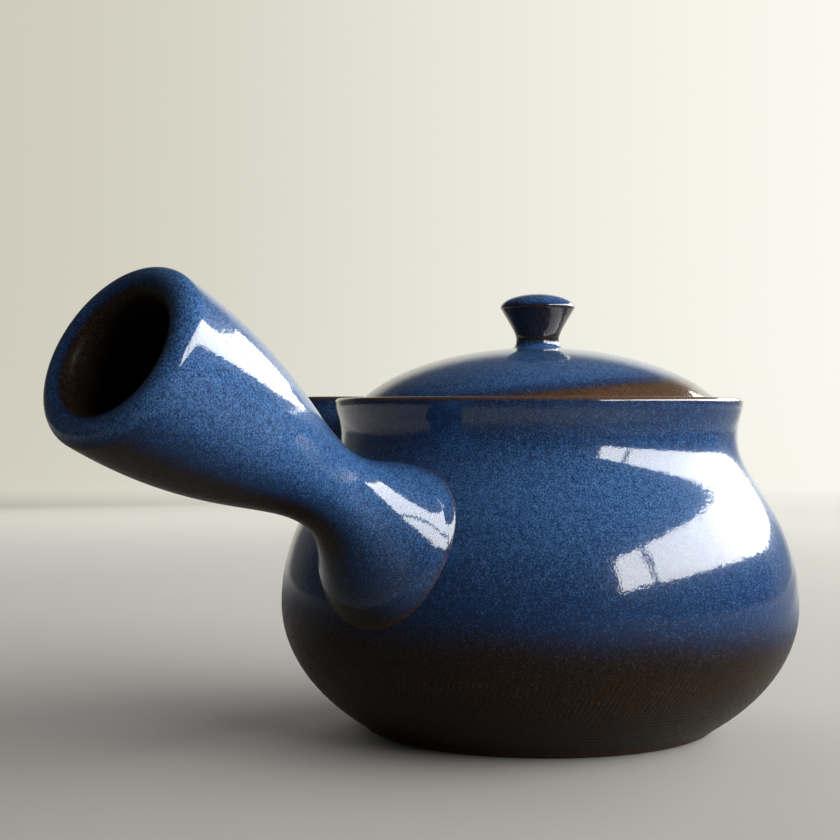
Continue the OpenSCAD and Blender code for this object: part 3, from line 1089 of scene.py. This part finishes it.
def stage_material():
    """Pale paint that gets dim outside the picture, as black cards would make it."""
    m = Nodes("stage_paint")
    place = m.object_mm()

    def measured(direction):
        node = m.add("ShaderNodeVectorMath", operation="DOT_PRODUCT")
        m.feed(node.inputs[0], place)
        node.inputs[1].default_value = direction
        return node.outputs["Value"]

    sideways = measured((*across, 0))
    backwards = measured((*away, 0))
    upwards = measured((0, 0, 1))
    rays = m.add("ShaderNodeLightPath")

    # The paint gets darker in front of the picture, above it and to its right, and throws little light back.
    pale = m.ramp(m.noise(place, STAGE_CLOUD, 3.0, 0.5), (0.3, STAGE_PALE), (0.7, STAGE_PALEST))
    picture_right = m.math("MULTIPLY", m.math("ADD", backwards, CAMERA_AWAY / MM), RIGHT_SLOPE)
    past_right = m.math("SUBTRACT", sideways, picture_right)
    kept_light = m.math("SUBTRACT", 1.0, m.math("MULTIPLY", rays.outputs["Is Diffuse Ray"], BOUNCE_LOSS))
    in_picture = m.times(
        m.span(backwards, *FRONT_FADE),
        m.span(upwards, *TOP_FADE),
        m.span(past_right, *RIGHT_FADE),
        kept_light
    )
    m.feed(m.shader.inputs["Base Color"], m.mix(in_picture, STAGE_DARK, pale))
    m.shader.inputs["Roughness"].default_value = 0.85

    # The wall glows pale for the eye and in reflections, with painted light brighter on the right, and dim
    # outside the picture.
    seen = m.math("ADD", rays.outputs["Is Camera Ray"], rays.outputs["Is Glossy Ray"])
    seen = m.math("ADD", seen, rays.outputs["Is Transmission Ray"], clamp=True)
    seen = m.times(
        seen,
        m.span(backwards, *WALL_START),
        m.span(upwards, *WALL_TOP_FADE, WALL_TOP_DIM),
        m.span(sideways, *WALL_RIGHT_FADE, WALL_RIGHT_DIM),
        m.span(sideways, *WALL_LEFT_FADE, WALL_LEFT_DIM)
    )
    glow = m.add("ShaderNodeEmission")
    m.feed(glow.inputs["Color"], m.mix(m.span(sideways, *WALL_LIGHT_SPAN), WALL_LEFT, WALL_RIGHT))
    wall = m.add("ShaderNodeMixShader")
    m.feed(wall.inputs[0], seen)
    m.feed(wall.inputs[1], m.shader.outputs[0])
    m.feed(wall.inputs[2], glow.outputs[0])
    m.feed(m.tree.nodes["Material Output"].inputs["Surface"], wall.outputs[0])
    return m.material


stage = stage_sweep()
stage.data.materials.append(stage_material())


# Light

LAMP_AWAY = 0.9
LAMP_EYE = 0.045
WINDOW_RADIANCE = 10.0
FILL_RADIANCE = 3.5
DAYLIGHT = (1.0, 0.99, 0.97)
ROOM_COLOUR = (0.94, 0.96, 1.0, 1)
ROOM_STRENGTH = 0.05


def window_lamp(name, facing, azimuth_from, azimuth_to, low, high, radiance=WINDOW_RADIANCE):
    """An upright rectangular lamp in a plane that faces the pot and covers a range of directions.
    Azimuth 0 is -Y and 90 is +X; low and high are heights as shares of the plane's distance."""
    turn = math.radians(facing)
    left = LAMP_AWAY * math.tan(math.radians(azimuth_from) - turn)
    right = LAMP_AWAY * math.tan(math.radians(azimuth_to) - turn)
    data = bpy.data.lights.new(name, "AREA")
    data.shape = "RECTANGLE"
    data.size = right - left
    data.size_y = LAMP_AWAY * (high - low)
    data.energy = radiance * math.pi * data.size * data.size_y
    data.color = DAYLIGHT
    lamp = bpy.data.objects.new(name, data)
    way = Vector((math.sin(turn), -math.cos(turn), 0))
    side = Vector((math.cos(turn), math.sin(turn), 0))
    up = Vector((0, 0, LAMP_EYE + LAMP_AWAY * 0.5 * (low + high)))
    lamp.location = way * LAMP_AWAY + side * 0.5 * (left + right) + up
    lamp.rotation_euler = way.to_track_quat("Z", "Y").to_euler()
    lamp.visible_camera = False
    bpy.context.scene.collection.objects.link(lamp)
    return lamp


window_lamp("window_left_pane", 115, 71, 86.5, 0.28, 0.80)
window_lamp("window_right_pane", 115, 89, 160, 0.28, 0.80)
window_lamp("window_far_pane", 174, 160, 189, 0.20, 0.54)

# A weak fill lights the side away from the windows and leaves no reflection of its own.
fill = window_lamp("soft_fill", 240, 205, 272, 0.05, 0.62, FILL_RADIANCE)
fill.visible_glossy = False

world = bpy.data.worlds.new("soft_room")
bpy.context.scene.world = world
world.use_nodes = True
room = world.node_tree.nodes["Background"]
room.inputs["Color"].default_value = ROOM_COLOUR
room.inputs["Strength"].default_value = ROOM_STRENGTH


# Camera

CAMERA_HIGH = 0.0662
CAMERA_YAW = math.radians(4.14)
CAMERA_PITCH = math.radians(0.14)
CAMERA_LENS = 69.6

camera_data = bpy.data.cameras.new("camera")
camera_data.lens = CAMERA_LENS
camera_data.sensor_width = 36.0
camera_data.clip_start = 0.01
camera = bpy.data.objects.new("camera", camera_data)
camera.location = (*(-CAMERA_AWAY * away), CAMERA_HIGH)
camera.rotation_euler = (math.pi / 2 - CAMERA_PITCH, 0, VIEW_AZIMUTH + CAMERA_YAW)
bpy.context.scene.collection.objects.link(camera)
bpy.context.scene.camera = camera
bpy.context.scene.view_settings.view_transform = "Standard"
